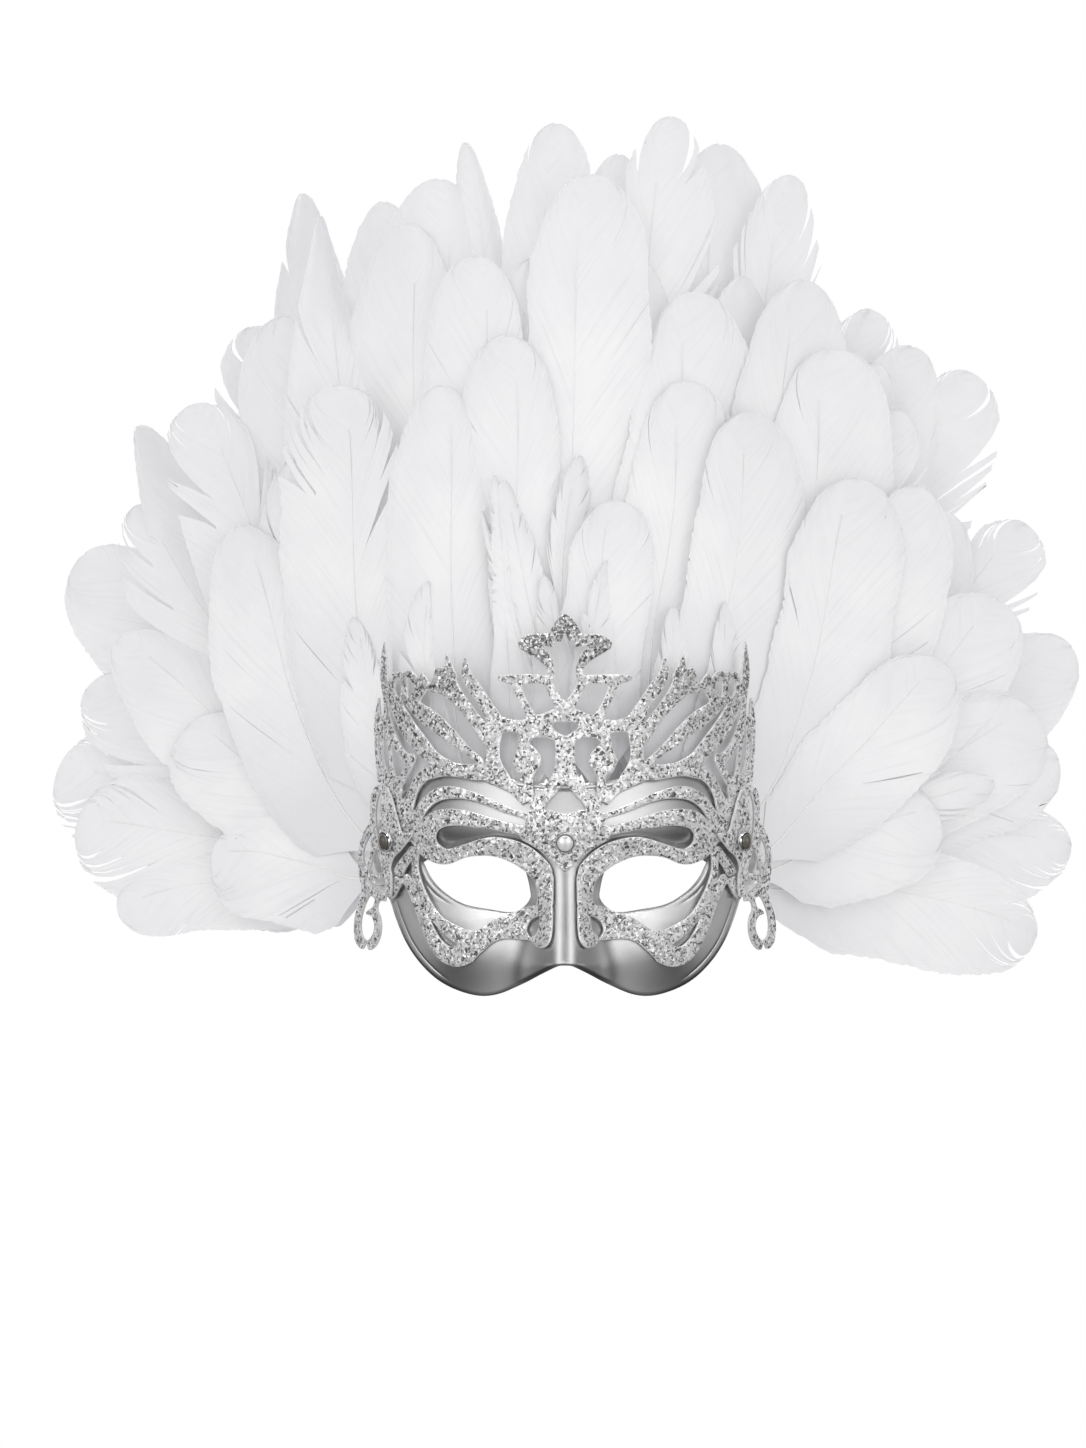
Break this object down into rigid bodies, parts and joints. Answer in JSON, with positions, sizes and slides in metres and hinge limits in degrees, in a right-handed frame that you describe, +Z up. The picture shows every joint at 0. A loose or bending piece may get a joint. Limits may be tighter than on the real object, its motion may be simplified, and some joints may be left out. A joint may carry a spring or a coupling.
{
  "type": "feathered eye mask",
  "caption": "Half face mask with eye holes, a pierced glitter filigree crown with side wings, set stones, and a high fan of white feathers behind.",
  "frame": {"origin": "the bridge of the nose, 4 mm behind the inside of the shell, where the mask sits on its wearer", "axes": "the mask faces -Y, +X is to the right of someone who looks at it, +Z is up"},
  "size_m": [0.4153, 0.1549, 0.3513],
  "materials": {
    "satin_silver": "satin silver paint on a moulded half mask",
    "glitter": "silver glitter over a pierced sheet with bright cut edges",
    "polished_silver": "polished",
    "crystal": "clear faceted stone on foil",
    "feather": "white feathers with a faint lilac grey shade"
  },
  "bodies": {
    "root": {"mask_shell": "satin_silver", "crown_filigree": "glitter", "wing_left": "glitter", "wing_right": "glitter", "setting_centre": "polished_silver", "stone_centre": "crystal", "setting_left": "polished_silver", "stone_left": "crystal", "setting_right": "polished_silver", "stone_right": "crystal", "feathers_front_left": "feather", "feathers_front_top": "feather", "feathers_front_right": "feather", "feathers_middle_left": "feather", "feathers_middle_top": "feather", "feathers_middle_right": "feather", "feathers_back_left": "feather", "feathers_back_top": "feather", "feathers_back_right": "feather"}
  },
  "joints": []
}
